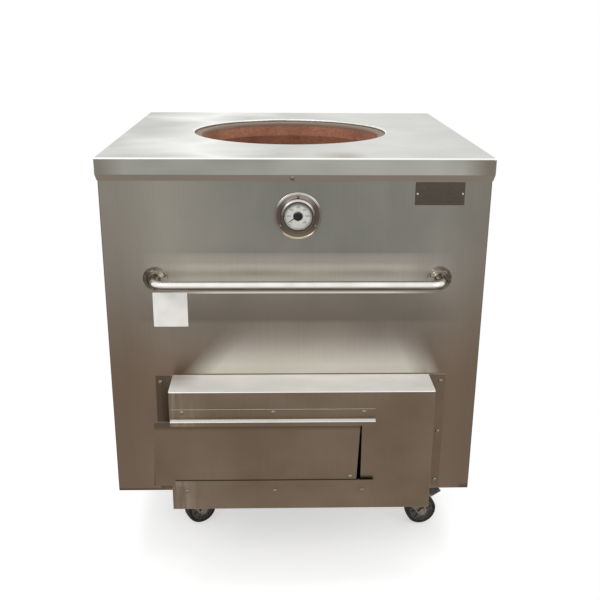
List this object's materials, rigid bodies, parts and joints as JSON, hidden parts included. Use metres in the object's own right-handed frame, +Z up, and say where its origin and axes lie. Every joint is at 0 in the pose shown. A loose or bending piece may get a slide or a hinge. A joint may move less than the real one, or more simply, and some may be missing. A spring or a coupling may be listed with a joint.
{
  "type": "electric tandoor",
  "caption": "Square steel tandoor on casters with a round clay oven mouth, dial thermometer, towel bar and a front box with a sliding draught door.",
  "frame": {"origin": "on the floor, under the middle of the overall box", "axes": "+Z up, -Y out of the front panel, +X to the right as seen from the front"},
  "size_m": [0.8128, 0.9124, 0.9398],
  "materials": {
    "steel_brushed": "brushed, vertical grain",
    "steel_plain": "mill finish",
    "steel_polished": "polished",
    "gauge_steel": "turned and polished",
    "screw_steel": "plain bright",
    "zinc_steel": "zinc plated",
    "pedal_steel": "satin",
    "frame_paint": "satin",
    "clay": "unglazed, matt",
    "refractory": "cast, matt",
    "element_ceramic": "matt",
    "element_sheath": "oxidised",
    "fibre_fill": "loose mineral fibre",
    "fibre_rope": "braided ceramic fibre",
    "dial_enamel": "matt white",
    "glass": "clear",
    "needle_black": "satin black",
    "plate_dark": "anodised, dark",
    "rivet_aluminium": "plain",
    "label_paper": "coated",
    "control_plastic": "moulded",
    "knob_plastic": "moulded",
    "rocker_plastic": "moulded",
    "contactor_plastic": "moulded",
    "lamp_lens": "clear red",
    "wire_insulation": "glass-silk sleeve",
    "gland_plastic": "moulded",
    "sensor_copper": "drawn copper",
    "wheel_rubber": "hard, moulded"
  },
  "bodies": {
    "root": {"top_cover": "steel_brushed", "front_panel": "steel_brushed", "back_panel": "steel_brushed", "side_panels": "steel_brushed", "corner_posts": "steel_plain", "base_pan": "steel_plain", "base_frame": "frame_paint", "clay_pot": "clay", "base_slab": "refractory", "insulation": "fibre_fill", "mouth_gasket": "fibre_rope", "port_sleeve": "steel_plain", "heating_elements": "element_sheath", "element_supports": "element_ceramic", "terminal_block": "element_ceramic", "front_box": "steel_brushed", "upper_track": "steel_brushed", "lower_track": "steel_brushed", "towel_bar": "steel_polished", "bar_roses": "steel_polished", "bar_nuts": "screw_steel", "thermometer_flange": "gauge_steel", "thermometer_case": "gauge_steel", "thermometer_dial": "dial_enamel", "thermometer_glass": "glass", "thermometer_stem": "gauge_steel", "thermometer_screws": "screw_steel", "nameplate": "plate_dark", "nameplate_rivets": "rivet_aluminium", "blank_label": "label_paper", "panel_screws": "screw_steel", "control_plate": "steel_plain", "thermostat_body": "control_plastic", "thermostat_sensor": "sensor_copper", "switch_housing": "control_plastic", "indicator_lamp": "lamp_lens", "contactor": "contactor_plastic", "internal_wiring": "wire_insulation", "cable_gland": "gland_plastic", "caster_plates": "zinc_steel", "caster_bolts": "screw_steel"},
    "door": {"sliding_door": "steel_brushed", "door_screw": "screw_steel"},
    "needle": {"thermometer_needle": "needle_black"},
    "knob": {"thermostat_knob": "knob_plastic"},
    "rocker": {"switch_rocker": "rocker_plastic"},
    "caster_front_left": {"fork_front_left": "zinc_steel", "axle_front_left": "zinc_steel"},
    "wheel_front_left": {"wheel_front_left": "wheel_rubber"},
    "brake_front_left": {"brake_pedal_front_left": "pedal_steel"},
    "caster_front_right": {"fork_front_right": "zinc_steel", "axle_front_right": "zinc_steel"},
    "wheel_front_right": {"wheel_front_right": "wheel_rubber"},
    "brake_front_right": {"brake_pedal_front_right": "pedal_steel"},
    "caster_rear_left": {"fork_rear_left": "zinc_steel", "axle_rear_left": "zinc_steel"},
    "wheel_rear_left": {"wheel_rear_left": "wheel_rubber"},
    "caster_rear_right": {"fork_rear_right": "zinc_steel", "axle_rear_right": "zinc_steel"},
    "wheel_rear_right": {"wheel_rear_right": "wheel_rubber"}
  },
  "joints": [
    {"name": "door_slide", "type": "slide", "parent": "root", "child": "door", "axis": [1, 0, 0], "range_m": [-0.2, 0.012]},
    {"name": "needle_turn", "type": "hinge", "parent": "root", "child": "needle", "pos_m": [0.004, -0.3567, 0.8205], "axis": [0, -1, 0], "range_deg": [-258, 12]},
    {"name": "knob_turn", "type": "hinge", "parent": "root", "child": "knob", "pos_m": [0.101, -0.3997, 0.35], "axis": [0, -1, 0], "range_deg": [-270, 0]},
    {"name": "rocker_press", "type": "hinge", "parent": "root", "child": "rocker", "pos_m": [0.101, -0.3972, 0.283], "axis": [1, 0, 0], "range_deg": [0, 16]},
    {"name": "swivel_front_left", "type": "hinge", "parent": "root", "child": "caster_front_left", "pos_m": [-0.264, -0.2202, 0.1016], "axis": [0, 0, 1], "continuous": true},
    {"name": "roll_front_left", "type": "hinge", "parent": "caster_front_left", "child": "wheel_front_left", "pos_m": [-0.23282, -0.2022, 0.038], "axis": [-0.5, 0.866, 0], "continuous": true},
    {"name": "brake_front_left", "type": "hinge", "parent": "caster_front_left", "child": "brake_front_left", "pos_m": [-0.24062, -0.2067, 0.0811], "axis": [-0.5, 0.866, 0], "range_deg": [0, 7]},
    {"name": "swivel_front_right", "type": "hinge", "parent": "root", "child": "caster_front_right", "pos_m": [0.284, -0.2202, 0.1016], "axis": [0, 0, 1], "continuous": true},
    {"name": "roll_front_right", "type": "hinge", "parent": "caster_front_right", "child": "wheel_front_right", "pos_m": [0.31945, -0.21395, 0.038], "axis": [-0.1736, 0.9848, 0], "continuous": true},
    {"name": "brake_front_right", "type": "hinge", "parent": "caster_front_right", "child": "brake_front_right", "pos_m": [0.31059, -0.21551, 0.0811], "axis": [-0.1736, 0.9848, 0], "range_deg": [0, 7]},
    {"name": "swivel_rear_left", "type": "hinge", "parent": "root", "child": "caster_rear_left", "pos_m": [-0.264, 0.3198, 0.1016], "axis": [0, 0, 1], "continuous": true},
    {"name": "roll_rear_left", "type": "hinge", "parent": "caster_rear_left", "child": "wheel_rear_left", "pos_m": [-0.2809, 0.35159, 0.038], "axis": [-0.8829, -0.4695, 0], "continuous": true},
    {"name": "swivel_rear_right", "type": "hinge", "parent": "root", "child": "caster_rear_right", "pos_m": [0.284, 0.3198, 0.1016], "axis": [0, 0, 1], "continuous": true},
    {"name": "roll_rear_right", "type": "hinge", "parent": "caster_rear_right", "child": "wheel_rear_right", "pos_m": [0.27287, 0.28556, 0.038], "axis": [0.9511, -0.309, 0], "continuous": true}
  ]
}
